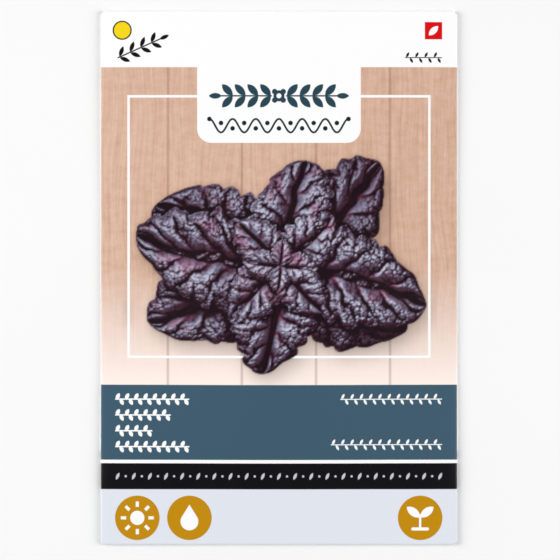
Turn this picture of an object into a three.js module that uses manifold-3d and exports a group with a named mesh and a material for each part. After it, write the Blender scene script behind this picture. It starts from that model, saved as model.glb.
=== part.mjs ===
// A printed paper seed packet, lying on its back with its front up. All sizes are in millimetres.
//
// The packet is one sheet of coated paper: a front panel, two wings that fold round behind it and lap
// in a glued seam, and a flap at each end that folds over the wings and is glued to them. It holds a
// heat-sealed sachet of two films, with the seed lying in a low heap towards its foot.
//
// The origin is the middle of the back, on the surface the packet rests on. +X is to the right and +Y
// is up as the front is read, and +Z points out of the front.

import * as THREE from "three";
import { mergeVertices } from "three/addons/utils/BufferGeometryUtils.js";
import Module from "manifold-3d";

// The packet's outside
const WIDTH = 80;
const HEIGHT = 120;
const PAPER = 0.15;
const GLUE = 0.1;
const SIDE_FOLD_RADIUS = 0.3; // of the middle of the paper
const SEAM_LAP = 6;
const SEAM_CLEARANCE = 1; // from the outer wing's free edge to where the inner wing lies level
const SEAM_RAMP = 3; // the width over which the inner wing climbs onto the outer one
const HEAD_FLAP = 16;
const FOOT_FLAP = 13;
const FLAP_TAPER = 3; // how much each side of a flap comes in by its free edge
const FLAP_RAMP = 3; // the length over which the wings climb onto a flap
const WING_END_GAP = 0.7; // from a wing's end to the packet's end
const GLUE_MARGIN = 1.5; // of bare paper round the glue under a flap
const SEAM_GLUE_WIDTH = 5;
const GLUE_BITE = 0.02; // how far the glue soaks into the paper on each side

// How far the filled packet bulges
const SACHET_RISE = 0.6;
const SEED_RISE = 1.95;
const SEED_MIDDLE_Y = -14;
const BULGE_HALF_WIDTH = 36;
const BULGE_HALF_LENGTH = 43;
const FLAT_END = 1.7; // flat stretch of the front beside each end fold
const EDGE_LOW_TO = 15; // the front's side edges lie low up to here from the middle,
const EDGE_HIGH_FROM = 45; // and at the height of the folded ends from here

// The inner sachet
const FILM = 0.1;
const SACHET_WIDTH = 62;
const SACHET_LENGTH = 88;
const SACHET_FOOT_Y = -52;
const SEAL_WIDTH = 5;
const SACHET_PILLOW = 0.25;
const SACHET_SEED_RISE = 1.8;
const SACHET_BACK_GAP = 0.05; // over the highest layer of the packet's back

// The seed
const SEED_COUNT = 96;
const SEED_HALF_SIZES = new THREE.Vector3(1.1, 0.7, 0.5);
const SEED_LIFT = 0.12; // a seed's middle over the heap's own surface
const SEED_TILT = 0.15; // in radians, at most, either way
const SEED_STRAY = 0.25; // in radians, at most, on from a seed's place in the spiral
const RANDOM_START = 7;
const HEAP_HALF_WIDTH = 13;
const HEAP_HALF_LENGTH = 17;
const HEAP_EDGE_HEIGHT = 0.45;
const HEAP_RISE = 0.35;
const HEAP_GAP = 0.02; // between the heap and the back film

// How finely curved stretches are divided
const FRONT_CELLS_ACROSS = 16;
const FRONT_CELLS_ALONG = 20;
const FOLD_CELLS = 4;
const FILM_CELLS_ACROSS = 12;
const FILM_CELLS_ALONG = 16;
const HEAP_RINGS = 3;
const HEAP_SIDES = 20;
const SAME_POINT = 1e-4; // points nearer than this are one

const wasm = await Module();
wasm.setup();

// Heights of the middle of the paper
const backLevel = PAPER / 2;
const layerStep = PAPER + GLUE;
const sideFoldHeight = 2 * SIDE_FOLD_RADIUS;
const frontEndLevel = backLevel + layerStep + sideFoldHeight;
const endFoldRadius = (frontEndLevel - backLevel) / 2;

// Half sizes of the front panel between its folds, and lengths of paper in the folds
const frontHalfWidth = WIDTH / 2 - SIDE_FOLD_RADIUS - PAPER / 2;
const frontHalfLength = HEIGHT / 2 - endFoldRadius - PAPER / 2;
const wingHalfLength = HEIGHT / 2 - WING_END_GAP;
const sideFoldLength = Math.PI * SIDE_FOLD_RADIUS;
const endFoldLength = Math.PI * endFoldRadius;

// Where the inner wing starts to climb, and where it is up, from the packet's middle line
const seamRampFoot = SEAM_LAP / 2 + SEAM_CLEARANCE + SEAM_RAMP;
const seamRampHead = SEAM_LAP / 2 + SEAM_CLEARANCE;

// 0 at one value, 1 at another, even between them and level outside them
const ramp = (value, from, to) => THREE.MathUtils.clamp((value - from) / (to - from), 0, 1);

// A smooth hump: 1 in its middle, and 0 with no slope from its rim outwards.
function hump(x, y, halfWidth, halfLength) {
  const inside = Math.max(0, 1 - (x / halfWidth) ** 2 - ((y - SEED_MIDDLE_Y) / halfLength) ** 2);
  return inside ** 2;
}

// 1 over most of a span, falling to 0 at its ends.
const plateau = (value, halfSpan) => Math.max(0, 1 - (value / halfSpan) ** 6);

// How far along a flap its free edge lies from the middle of the packet
const flapEdge = (v) => HEIGHT / 2 - (v > 0 ? HEAD_FLAP : FOOT_FLAP);

// The level of the wings, which climb onto the flaps near both ends
const wingLevel = (v) =>
  backLevel + layerStep * ramp(Math.abs(v), flapEdge(v) - FLAP_RAMP, flapEdge(v));

// The level of the front panel along its side folds
function frontEdgeLevel(v) {
  const share = THREE.MathUtils.smoothstep(Math.abs(v), EDGE_LOW_TO, EDGE_HIGH_FROM);
  return backLevel + sideFoldHeight + layerStep * share;
}

function frontLevel(u, v) {
  const across = plateau(u, frontHalfWidth);
  const along = plateau(v, HEIGHT / 2 - FLAT_END) ** 2;
  const rise = SACHET_RISE * across * along + SEED_RISE * hump(u, v, BULGE_HALF_WIDTH, BULGE_HALF_LENGTH);
  return frontEdgeLevel(v) + rise;
}

// Where a point of the flat blank goes when the packet is folded. u runs across the blank and v along
// it, both from the middle of the front panel.
function fold(u, v) {
  const side = Math.sign(u);
  const end = Math.sign(v);
  const pastEnd = Math.abs(v) - frontHalfLength;
  const pastSide = Math.abs(u) - frontHalfWidth;
  if (pastEnd > endFoldLength) {
    return new THREE.Vector3(u, end * (frontHalfLength - (pastEnd - endFoldLength)), backLevel);
  }
  if (pastEnd > 0) {
    const turn = pastEnd / endFoldRadius;
    const y = end * (frontHalfLength + endFoldRadius * Math.sin(turn));
    return new THREE.Vector3(u, y, backLevel + endFoldRadius * (1 + Math.cos(turn)));
  }
  if (pastSide <= 0) return new THREE.Vector3(u, v, frontLevel(u, v));
  if (pastSide <= sideFoldLength) {
    const turn = pastSide / SIDE_FOLD_RADIUS;
    const middle = (frontEdgeLevel(v) + wingLevel(v)) / 2;
    const reach = (frontEdgeLevel(v) - wingLevel(v)) / 2;
    const x = side * (frontHalfWidth + SIDE_FOLD_RADIUS * Math.sin(turn));
    return new THREE.Vector3(x, v, middle + reach * Math.cos(turn));
  }
  const inward = frontHalfWidth - (pastSide - sideFoldLength);
  const overlap = side > 0 ? ramp(inward, seamRampFoot, seamRampHead) : 0;
  return new THREE.Vector3(side * inward, v, wingLevel(v) + layerStep * overlap);
}

// The quads between neighbouring stations of a patch of the blank. narrow(v) is a factor on u.
function patch(acrossStations, alongStations, narrow = () => 1) {
  const corner = (i, j) => [acrossStations[i] * narrow(alongStations[j]), alongStations[j]];
  const quads = [];
  for (let i = 0; i + 1 < acrossStations.length; i++) {
    for (let j = 0; j + 1 < alongStations.length; j++) {
      quads.push([corner(i, j), corner(i + 1, j), corner(i + 1, j + 1), corner(i, j + 1)]);
    }
  }
  return quads;
}

// Evenly spaced values, both ends included
const spaced = (from, to, cells) => Array.from({ length: cells + 1 }, (_, k) => from + ((to - from) * k) / cells);

const rounded = (value) => Math.round(value * 1e6) / 1e6;

// A closed solid of even thickness whose middle is place(u, v) over all the quads. Both faces are
// split along the same diagonals, and a wall closes every free edge.
function thickSheet(quads, place, thickness) {
  const indices = new Map();
  const outer = [];
  const inner = [];
  const step = SAME_POINT;
  const indexOf = ([u, v]) => {
    const key = `${rounded(u)},${rounded(v)}`;
    if (!indices.has(key)) {
      indices.set(key, outer.length);
      const alongU = place(u + step, v).sub(place(u - step, v));
      const alongV = place(u, v + step).sub(place(u, v - step));
      const half = alongU.cross(alongV).setLength(thickness / 2);
      outer.push(place(u, v).add(half));
      inner.push(place(u, v).sub(half));
    }
    return indices.get(key);
  };
  const cells = quads.map((quad) => quad.map(indexOf));
  const below = outer.length;
  const triangles = [];
  const edges = new Set();
  for (const [a, b, c, d] of cells) {
    triangles.push([a, b, c], [a, c, d]);
    triangles.push([a + below, c + below, b + below], [a + below, d + below, c + below]);
    for (const edge of [[a, b], [b, c], [c, d], [d, a]]) edges.add(edge.join());
  }
  for (const edge of edges) {
    const [a, b] = edge.split(",").map(Number);
    if (!edges.has(`${b},${a}`)) triangles.push([b, a, a + below], [b, a + below, b + below]);
  }
  return new wasm.Manifold(
    new wasm.Mesh({
      numProp: 3,
      vertProperties: new Float32Array([...outer, ...inner].flatMap((point) => point.toArray())),
      triVerts: new Uint32Array(triangles.flat()),
    }),
  );
}

// A three.js geometry with the same closed surface as a solid
function geometryOf(solid) {
  const mesh = solid.getMesh();
  const geometry = new THREE.BufferGeometry();
  geometry.setAttribute("position", new THREE.BufferAttribute(mesh.vertProperties, mesh.numProp));
  geometry.setIndex(new THREE.BufferAttribute(mesh.triVerts, 1));
  return geometry;
}

// A solid from an indexed three.js geometry that is already closed
function solidOf(geometry) {
  return new wasm.Manifold(
    new wasm.Mesh({
      numProp: 3,
      vertProperties: new Float32Array(geometry.getAttribute("position").array),
      triVerts: new Uint32Array(geometry.getIndex().array),
    }),
  );
}

// Stations along the packet: even ones, less any that crowd a ramp or a flat end, and those themselves
function stationsAlong() {
  const flatFrom = HEIGHT / 2 - FLAT_END;
  const fixed = [-1, 1].flatMap((end) =>
    [wingHalfLength, flatFrom, flapEdge(end), flapEdge(end) - FLAP_RAMP].map((v) => end * v),
  );
  const even = spaced(-flatFrom, flatFrom, FRONT_CELLS_ALONG);
  const clear = even.filter((v) => fixed.every((other) => Math.abs(v - other) > FLAP_RAMP / 2));
  return [...fixed, ...clear].sort((a, b) => a - b);
}

// The whole blank: front panel, side folds, wings, end folds and flaps
function packetBlank() {
  const along = stationsAlong();
  const front = spaced(-frontHalfWidth, frontHalfWidth, FRONT_CELLS_ACROSS);
  const sideFold = spaced(frontHalfWidth, frontHalfWidth + sideFoldLength, FOLD_CELLS);
  const wingStart = frontHalfWidth + sideFoldLength;
  const wingReach = (x) => wingStart + frontHalfWidth - x;
  const outerWing = [wingStart, wingReach(-SEAM_LAP / 2)];
  const innerWing = [wingStart, ...[seamRampFoot, seamRampHead, -SEAM_LAP / 2].map(wingReach)];
  const mirrored = (stations) => stations.map((u) => -u).reverse();
  const quads = [
    ...patch(front, along),
    ...patch(sideFold, along),
    ...patch(mirrored(sideFold), along),
    ...patch(innerWing, along),
    ...patch(mirrored(outerWing), along),
  ];
  for (const end of [-1, 1]) {
    const flapStart = frontHalfLength + endFoldLength;
    const freeEdge = flapStart + frontHalfLength - flapEdge(end);
    const narrow = (v) => 1 - (FLAP_TAPER / frontHalfWidth) * ramp(Math.abs(v), wingHalfLength, freeEdge);
    const rows = [wingHalfLength, ...spaced(frontHalfLength, flapStart, FOLD_CELLS), freeEdge];
    const ordered = rows.map((v) => end * v).sort((a, b) => a - b);
    quads.push(...patch(front, ordered, narrow));
  }
  return quads;
}

// The bead of glue between the lapped wings. It bites into both, so that the three make one body.
function seamGlue() {
  const halfWidth = SEAM_GLUE_WIDTH / 2;
  const level = (v) => wingLevel(v) + layerStep / 2;
  const quads = patch([-halfWidth, halfWidth], stationsAlong());
  return thickSheet(quads, (u, v) => new THREE.Vector3(u, v, level(v)), GLUE + 2 * GLUE_BITE);
}

// The glue between a flap and the wings above it
function flapGlue(end) {
  const halfWidth = frontHalfWidth - FLAP_TAPER - GLUE_MARGIN;
  const from = end * (flapEdge(end) + GLUE_MARGIN);
  const to = end * (wingHalfLength - GLUE_MARGIN);
  const level = backLevel + layerStep / 2;
  const quads = patch([-halfWidth, halfWidth], [from, to].sort((a, b) => a - b));
  return thickSheet(quads, (u, v) => new THREE.Vector3(u, v, level), GLUE + 2 * GLUE_BITE);
}

function paperPacket() {
  const sheet = thickSheet(packetBlank(), fold, PAPER);
  return geometryOf(wasm.Manifold.union([sheet, seamGlue(), flapGlue(-1), flapGlue(1)]));
}

// The sachet lies on the highest layer of the packet's back: a flap, both wings and their glue
const sachetLevel = 3 * PAPER + 2 * GLUE + SACHET_BACK_GAP;
const sachetMiddleY = SACHET_FOOT_Y + SACHET_LENGTH / 2;

function sachetBackFilm() {
  const geometry = new THREE.BoxGeometry(SACHET_WIDTH, SACHET_LENGTH, FILM);
  return geometry.translate(0, sachetMiddleY, sachetLevel + FILM / 2);
}

// The front film is flat along its seals, and rises between them over the seed.
function frontFilmLevel(x, y) {
  const pillow =
    plateau(x, SACHET_WIDTH / 2 - SEAL_WIDTH) * plateau(y - sachetMiddleY, SACHET_LENGTH / 2 - SEAL_WIDTH);
  const seed = hump(x, y, SACHET_WIDTH / 2 - SEAL_WIDTH, SEED_MIDDLE_Y - SACHET_FOOT_Y - SEAL_WIDTH);
  return sachetLevel + 1.5 * FILM + SACHET_PILLOW * pillow + SACHET_SEED_RISE * seed;
}

function sachetFrontFilm() {
  const stations = (middle, halfSize, cells) => {
    const inside = halfSize - SEAL_WIDTH;
    const between = spaced(middle - inside, middle + inside, cells);
    return [middle - halfSize, ...between, middle + halfSize];
  };
  const across = stations(0, SACHET_WIDTH / 2, FILM_CELLS_ACROSS);
  const along = stations(sachetMiddleY, SACHET_LENGTH / 2, FILM_CELLS_ALONG);
  const place = (x, y) => new THREE.Vector3(x, y, frontFilmLevel(x, y));
  return geometryOf(thickSheet(patch(across, along), place, FILM));
}

// A small generator of numbers from 0 to 1, the same on each run
function seededRandom(seed) {
  let state = seed;
  return () => {
    state = (state * 1664525 + 1013904223) % 4294967296;
    return state / 4294967296;
  };
}

const heapFloor = sachetLevel + FILM + HEAP_GAP;
const heapLevel = (share) => heapFloor + HEAP_EDGE_HEIGHT + HEAP_RISE * (1 - share ** 2);

// The buried seed, as one low dome with a flat foot
function heapCore() {
  const profile = [new THREE.Vector2(0, heapFloor), new THREE.Vector2(1, heapFloor)];
  for (const share of spaced(1, 0, HEAP_RINGS)) profile.push(new THREE.Vector2(share, heapLevel(share)));
  const dome = new THREE.LatheGeometry(profile, HEAP_SIDES);
  dome.rotateX(Math.PI / 2).scale(HEAP_HALF_WIDTH, HEAP_HALF_LENGTH, 1);
  return dome.translate(0, SEED_MIDDLE_Y, 0);
}

// Loose-lying seeds over the dome, spread by the golden angle and half sunk in it
function surfaceSeeds() {
  const random = seededRandom(RANDOM_START);
  const goldenAngle = Math.PI * (3 - Math.sqrt(5));
  return Array.from({ length: SEED_COUNT }, (_, k) => {
    const share = Math.sqrt((k + 0.5) / SEED_COUNT);
    const turn = k * goldenAngle + SEED_STRAY * random();
    const seed = new THREE.IcosahedronGeometry(1, 0);
    seed.scale(SEED_HALF_SIZES.x, SEED_HALF_SIZES.y, SEED_HALF_SIZES.z);
    seed.rotateY(SEED_TILT * (2 * random() - 1)).rotateZ(Math.PI * random());
    return seed.translate(
      HEAP_HALF_WIDTH * share * Math.cos(turn),
      SEED_MIDDLE_Y + HEAP_HALF_LENGTH * share * Math.sin(turn),
      heapLevel(share) + SEED_LIFT,
    );
  });
}

function basilSeeds() {
  const merged = (geometry) => {
    geometry.deleteAttribute("normal");
    geometry.deleteAttribute("uv");
    return solidOf(mergeVertices(geometry, SAME_POINT));
  };
  return geometryOf(wasm.Manifold.union([heapCore(), ...surfaceSeeds()].map(merged)));
}

const paper = new THREE.MeshStandardMaterial({ color: 0xf4f4f1, roughness: 0.45, metalness: 0 });
const foil = new THREE.MeshStandardMaterial({ color: 0xd9dbd8, roughness: 0.35, metalness: 0.6 });
const seedCoat = new THREE.MeshStandardMaterial({ color: 0x1d1816, roughness: 0.5, metalness: 0 });

const packet = new THREE.Group();
const pieces = [
  ["paper_packet", paperPacket(), paper],
  ["sachet_back_film", sachetBackFilm(), foil],
  ["sachet_front_film", sachetFrontFilm(), foil],
  ["basil_seeds", basilSeeds(), seedCoat],
];
for (const [name, geometry, material] of pieces) {
  const piece = new THREE.Mesh(geometry, material);
  piece.name = name;
  packet.add(piece);
}

export default packet;
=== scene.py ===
"""A printed paper seed packet, lying on its back on a pale floor and seen from straight above.

The sizes in this script are in millimetres, and meshes are made in metres. The packet's paper is worked
out on its flat blank, where u runs across and v along, both from the middle of the front panel, and is
then folded. The print is drawn by distances in millimetres over the folded packet, and the leaves in its
picture are modelled as heights over a grid, lit, and kept as colours on the paper's vertices.
"""

import math
from functools import reduce

import bpy
import numpy as np
from mathutils import Euler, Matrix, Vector


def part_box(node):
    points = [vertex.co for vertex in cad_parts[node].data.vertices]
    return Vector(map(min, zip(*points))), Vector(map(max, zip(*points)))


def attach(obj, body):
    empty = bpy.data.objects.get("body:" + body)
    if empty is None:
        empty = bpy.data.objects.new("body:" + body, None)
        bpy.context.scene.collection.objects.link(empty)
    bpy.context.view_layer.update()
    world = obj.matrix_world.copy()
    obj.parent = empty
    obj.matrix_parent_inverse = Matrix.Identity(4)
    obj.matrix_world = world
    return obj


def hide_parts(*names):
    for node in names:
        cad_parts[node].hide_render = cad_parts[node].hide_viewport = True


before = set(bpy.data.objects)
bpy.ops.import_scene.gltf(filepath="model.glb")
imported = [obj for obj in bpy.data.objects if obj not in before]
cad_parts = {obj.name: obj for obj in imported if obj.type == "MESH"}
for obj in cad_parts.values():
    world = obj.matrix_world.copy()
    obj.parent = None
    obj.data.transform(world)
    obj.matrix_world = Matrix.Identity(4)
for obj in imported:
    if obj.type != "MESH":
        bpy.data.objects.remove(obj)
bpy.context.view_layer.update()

MM = 0.001

# The packet, as the frame holds it
PACKET_LOW, PACKET_HIGH = (np.array(corner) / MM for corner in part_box("paper_packet"))
WIDTH, HEIGHT = PACKET_HIGH[:2] - PACKET_LOW[:2]
PAPER = 0.15
GLUE = 0.1
SIDE_FOLD_RADIUS = 0.3
SEAM_LAP = 6.0
SEAM_CLEARANCE = 1.0
SEAM_RAMP = 3.0
SEAM_GLUE_WIDTH = 5.0
GLUE_MARGIN = 1.5
HEAD_FLAP = 16.0
FOOT_FLAP = 13.0
FLAP_TAPER = 3.0
FLAP_RAMP = 3.0
WING_END_GAP = 0.7
FLAT_END = 1.7
EDGE_LOW_TO = 15.0
EDGE_HIGH_FROM = 45.0
SACHET_RISE = 0.6
SEED_RISE = 1.95
SEED_MIDDLE_Y = -14.0
BULGE_HALF_WIDTH = 36.0
BULGE_HALF_LENGTH = 43.0
PAPER_WAVE = 0.04

# The sachet and the seed
SACHET_LOW, SACHET_HIGH = (np.array(corner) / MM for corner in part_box("sachet_back_film"))
FILM = SACHET_HIGH[2] - SACHET_LOW[2]
SEAL_WIDTH = 5.0
SACHET_PILLOW = 0.25
SACHET_SEED_RISE = 1.8
CRIMP_PITCH = 1.0
CRIMP_DEPTH = 0.02
HEAP_HALF_WIDTH = 13.0
HEAP_HALF_LENGTH = 17.0
SEED_HALF_SIZES = np.array([1.1, 0.7, 0.5])
SEED_SPACING = 1.9
SEED_STRAY = 0.25
SEED_GAP = 0.02
SEED_RINGS = 6
SEED_SIDES = 8
SEED_LAYER_STEP = 0.78
SEED_BLUNTNESS = 0.16
SEED_SMALLEST = 0.88
SEED_UNEVEN = 0.03
SEED_TILT = 0.25
SEED_ROLL = 0.3
HEAP_LAYER_SHARES = (1.0, 0.8)
FILM_WRINKLE = 0.025

# Heights of the middle of the paper, and half sizes of the front between its folds
BACK_LEVEL = PAPER / 2
LAYER_STEP = PAPER + GLUE
SIDE_FOLD_HEIGHT = 2 * SIDE_FOLD_RADIUS
END_FOLD_RADIUS = (LAYER_STEP + SIDE_FOLD_HEIGHT) / 2
FRONT_HALF_WIDTH = WIDTH / 2 - SIDE_FOLD_RADIUS - PAPER / 2
FRONT_HALF_LENGTH = HEIGHT / 2 - END_FOLD_RADIUS - PAPER / 2
WING_HALF_LENGTH = HEIGHT / 2 - WING_END_GAP
SIDE_FOLD_LENGTH = math.pi * SIDE_FOLD_RADIUS
END_FOLD_LENGTH = math.pi * END_FOLD_RADIUS
SEAM_RAMP_HEAD = SEAM_LAP / 2 + SEAM_CLEARANCE
SEAM_RAMP_FOOT = SEAM_RAMP_HEAD + SEAM_RAMP
WING_START = FRONT_HALF_WIDTH + SIDE_FOLD_LENGTH
WING_END = WING_START + FRONT_HALF_WIDTH + SEAM_LAP / 2
FLAP_START = FRONT_HALF_LENGTH + END_FOLD_LENGTH

# Where the front's print ends on the blank, halfway round each fold
WING_SPLIT = FRONT_HALF_WIDTH + SIDE_FOLD_LENGTH / 2
FLAP_SPLIT = FRONT_HALF_LENGTH + END_FOLD_LENGTH / 2

# The bands of the print, from the packet's foot
FOOT = -HEIGHT / 2
BASE_PANEL_TOP = FOOT + 12.57
BLACK_STRIP_TOP = FOOT + 18.42
SLATE_BAND_FOOT = FOOT + 19.19
SLATE_BAND_TOP = FOOT + 36.03
PICTURE_TOP = FOOT + 107.3

# How finely the printed face and the bare face are divided
PICTURE_PITCH = 0.25
PICTURE_WINDOW = (-34.0, 34.0, SLATE_BAND_TOP, 34.0)
OUTER_SPACING = 2.0
INNER_SPACING = 5.0
OUTER_FOLD_CELLS = 8
INNER_FOLD_CELLS = 4

# The square image that the paper's finish is baked on: its side, and the scales of the parts beside the front
BAKE_SIDE = 121.4
BAKE_GAP = 0.4
BAKE_BACK_SCALE = 0.46
BAKE_INSIDE_SCALE = 0.235
BAKE_RIM_SPREAD = 1.03

# The photograph's frame, and the studio, with its lamps in metres and watts
PHOTO_PIXELS = 560
PHOTO_PIXELS_PER_MM = 4.459
PHOTO_PACKET_MIDDLE = (278.95, 277.9)
CAMERA_LENS = 150.0
CAMERA_SENSOR = 36.0
FLOOR_HALF_SIZE = 0.8
FLOOR_GAP = 0.05
FLOOR_SHADES = (246, 249)
WALL_LIGHT = 0.90
CEILING_LIGHT = 0.12
LAMP_SIZE = 0.6
LAMPS = [("left_lamp", (-0.75, 0.12, 0.50), 5.9), ("right_lamp", (0.75, -0.02, 0.50), 4.8)]


def ramp(value, start, end):
    return np.clip((value - start) / (end - start), 0, 1)


def smooth(value, start, end):
    share = ramp(value, start, end)
    return share * share * (3 - 2 * share)


def hump(x, y, half_width, half_length):
    """1 in the middle of the seed, and 0 with no slope from the hump's rim outwards."""
    return np.maximum(0, 1 - (x / half_width) ** 2 - ((y - SEED_MIDDLE_Y) / half_length) ** 2) ** 2


def plateau(value, half_span):
    return np.maximum(0, 1 - (value / half_span) ** 6)


def filled(marks, spacing):
    """The marks, with evenly spaced values between them no further apart than the spacing."""
    spans = [
        np.linspace(low, high, math.ceil((high - low) / spacing - 1e-6) + 1)[:-1]
        for low, high in zip(marks, marks[1:])
    ]
    return np.append(np.concatenate(spans), marks[-1])


def flap_edge(v):
    """How far along a flap its free edge lies from the middle of the packet."""
    return HEIGHT / 2 - np.where(v > 0, HEAD_FLAP, FOOT_FLAP)


def flap_tip(flap):
    """How far a flap's free edge lies from the middle of the flat blank."""
    return FLAP_START + FRONT_HALF_LENGTH - (HEIGHT / 2 - flap)


def wing_level(v):
    edge = flap_edge(v)
    return BACK_LEVEL + LAYER_STEP * ramp(np.abs(v), edge - FLAP_RAMP, edge)


def front_edge_level(v):
    return BACK_LEVEL + SIDE_FOLD_HEIGHT + LAYER_STEP * smooth(np.abs(v), EDGE_LOW_TO, EDGE_HIGH_FROM)


def front_level(u, v):
    flat = plateau(u, FRONT_HALF_WIDTH) * plateau(v, HEIGHT / 2 - FLAT_END) ** 2
    wave = np.sin(u / 7.1 + np.sin(v / 13.0) * 1.4) * np.sin(v / 9.3 + 0.6)
    wave += 0.6 * np.sin(u / 3.7 - v / 5.9) * np.cos(v / 4.1 + u / 17.0)
    level = front_edge_level(v) + SACHET_RISE * flat
    return level + SEED_RISE * hump(u, v, BULGE_HALF_WIDTH, BULGE_HALF_LENGTH) + PAPER_WAVE * wave * flat


def fold(u, v):
    """Where points of the flat blank lie in the folded packet: the middle of the paper, as x, y and z."""
    side, end = np.sign(u), np.sign(v)
    past_side, past_end = np.abs(u) - FRONT_HALF_WIDTH, np.abs(v) - FRONT_HALF_LENGTH
    side_turn = np.clip(past_side / SIDE_FOLD_RADIUS, 0, math.pi)
    end_turn = np.clip(past_end / END_FOLD_RADIUS, 0, math.pi)
    back_x = side * (FRONT_HALF_WIDTH - (past_side - SIDE_FOLD_LENGTH))
    back_y = end * (FRONT_HALF_LENGTH - (past_end - END_FOLD_LENGTH))
    climb = np.where(side > 0, ramp(back_x, SEAM_RAMP_FOOT, SEAM_RAMP_HEAD), 0)
    front, back = front_edge_level(v), wing_level(v)
    end_y = end * (FRONT_HALF_LENGTH + END_FOLD_RADIUS * np.sin(end_turn))
    end_z = BACK_LEVEL + END_FOLD_RADIUS * (1 + np.cos(end_turn))
    side_x = side * (FRONT_HALF_WIDTH + SIDE_FOLD_RADIUS * np.sin(side_turn))
    side_z = (front + back) / 2 + (front - back) / 2 * np.cos(side_turn)
    regions = [past_end > END_FOLD_LENGTH, past_end > 0, past_side <= 0, past_side <= SIDE_FOLD_LENGTH]
    x = np.select(regions, [u, u, u, side_x], back_x)
    y = np.select(regions, [back_y, end_y, v, v], v)
    z = np.select(regions, [BACK_LEVEL + 0 * u, end_z, front_level(u, v), side_z], back + LAYER_STEP * climb)
    return np.stack([x, y, z], axis=-1)


def outward(place, u, v):
    """Unit normals of a surface, out of its printed side."""
    step = 1e-4
    along_u = place(u + step, v) - place(u - step, v)
    along_v = place(u, v + step) - place(u, v - step)
    normal = np.cross(along_u, along_v)
    return normal / np.linalg.norm(normal, axis=-1, keepdims=True)


def blank_stations(spacing, fold_cells, window=(0.0, 0.0, 0.0, 0.0)):
    """Stations across and along the blank. Inside the window they are as fine as the picture."""
    low_x, high_x, low_y, high_y = window
    ramp_marks = [WING_START + FRONT_HALF_WIDTH - x for x in (SEAM_RAMP_FOOT, SEAM_RAMP_HEAD)]
    across = [
        filled([low_x, high_x], PICTURE_PITCH),
        filled([-WING_END, -WING_START], 2 * spacing),
        filled([WING_START, *ramp_marks, WING_END], 2 * spacing),
    ]
    for side, inner in ((-1, low_x), (1, high_x)):
        across += [
            side * filled([side * inner, FRONT_HALF_WIDTH], spacing),
            side * filled([FRONT_HALF_WIDTH, WING_START], SIDE_FOLD_LENGTH / fold_cells),
        ]
    along = [filled([low_y, high_y], PICTURE_PITCH)]
    end_marks = [HEIGHT / 2 - FLAT_END, WING_HALF_LENGTH, FRONT_HALF_LENGTH]
    for end, inner, flap in ((-1, low_y, FOOT_FLAP), (1, high_y, HEAD_FLAP)):
        edge = HEIGHT / 2 - flap
        along += [
            end * filled([end * inner, edge - FLAP_RAMP, edge, *end_marks], spacing),
            end * filled([FRONT_HALF_LENGTH, FLAP_START], END_FOLD_LENGTH / fold_cells),
            end * filled([FLAP_START, flap_tip(flap)], 3 * spacing),
        ]
    return [np.unique(np.round(np.concatenate(stations), 6)) for stations in (across, along)]


def grid_quads(index):
    """The four corners of each cell of a grid of indices."""
    return np.stack([index[:-1, :-1], index[:-1, 1:], index[1:, 1:], index[1:, :-1]], axis=-1)


def blank_grid(across, along):
    """The flat blank over its stations: u and v at each, and quads of grid indices where there is paper."""
    tip = 2 * FRONT_HALF_LENGTH + END_FOLD_LENGTH - flap_edge(along)
    narrow = 1 - FLAP_TAPER / FRONT_HALF_WIDTH * ramp(np.abs(along), WING_HALF_LENGTH, tip)
    u = across[None, :] * narrow[:, None]
    v = np.broadcast_to(along[:, None], u.shape)
    in_front = np.abs(across[1:] + across[:-1]) / 2 < FRONT_HALF_WIDTH
    in_body = np.abs(along[1:] + along[:-1]) / 2 < WING_HALF_LENGTH
    quads = grid_quads(np.arange(u.size).reshape(u.shape))
    return u, v, quads[in_body[:, None] | in_front[None, :]]


def rim(quads, u, v):
    """The grid indices round the edge of the paper, and how far round each one lies."""
    starts = quads.ravel()
    ends = np.roll(quads, -1, axis=1).ravel()
    forward = starts.astype(np.int64) * u.size + ends
    backward = ends.astype(np.int64) * u.size + starts
    free = ~np.isin(forward, backward)
    following = dict(zip(starts[free].tolist(), ends[free].tolist()))
    flat = np.stack([u.ravel(), v.ravel()], axis=-1)
    first = min(following, key=lambda k: (round(flat[k, 1], 5), flat[k, 0]))
    loop = [first, following[first]]
    while loop[-1] != first:
        loop.append(following[loop[-1]])
    steps = np.linalg.norm(np.diff(flat[loop], axis=0), axis=1)
    return loop, np.concatenate([[0], np.cumsum(steps)]) / steps.sum()


def zipped(outer, outer_at, inner, inner_at):
    """Triangles that close the wall between two loops, which may have different numbers of points."""
    triangles = []
    i = j = 0
    while i + 1 < len(outer) or j + 1 < len(inner):
        if j + 1 == len(inner) or (i + 1 < len(outer) and outer_at[i + 1] <= inner_at[j + 1]):
            triangles.append((outer[i + 1], outer[i], inner[j]))
            i += 1
        else:
            triangles.append((inner[j], inner[j + 1], outer[i]))
            j += 1
    return triangles


# The printed leaves. Heights are in millimetres on a leaf LEAF_SIZE long, and shrink with it
LEAF_SIZE = 30.0
LEAF_OUTLINE = (1.62, 0.48, 0.66, 0.25)
LEAF_LOBES = 7.0
LOBE_NOTCH = 0.12
LOBE_STRAY = 0.16
LEAF_RAGGED = 0.07
LEAF_BEND = 0.006
LEAF_ARCH = 0.15
LEAF_CUP = 0.30
VEIN_PAIRS = 6.0
VEIN_SLANT = (0.30, 0.06)
VEIN_STRAY = 0.12
QUILT_RISE = 1.4
BLISTER_RISE = 0.6
BLISTER_SIZE = 1.5
CRINKLE_RISE = 0.30
CRINKLE_SIZE = 0.7
MIDRIB_DEPTH = 1.6
MIDRIB_GROOVE = 0.8
MIDRIB_WIDTH = 0.22
SIDE_RIB_STRENGTH = 0.9
MARGIN_WAVE = 0.7
MARGIN_CURL = 1.3
MARGIN_FALL = 0.5
LEAF_STRAY = 0.5
LEAF_STRAY_SIZE = 3.3

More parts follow.
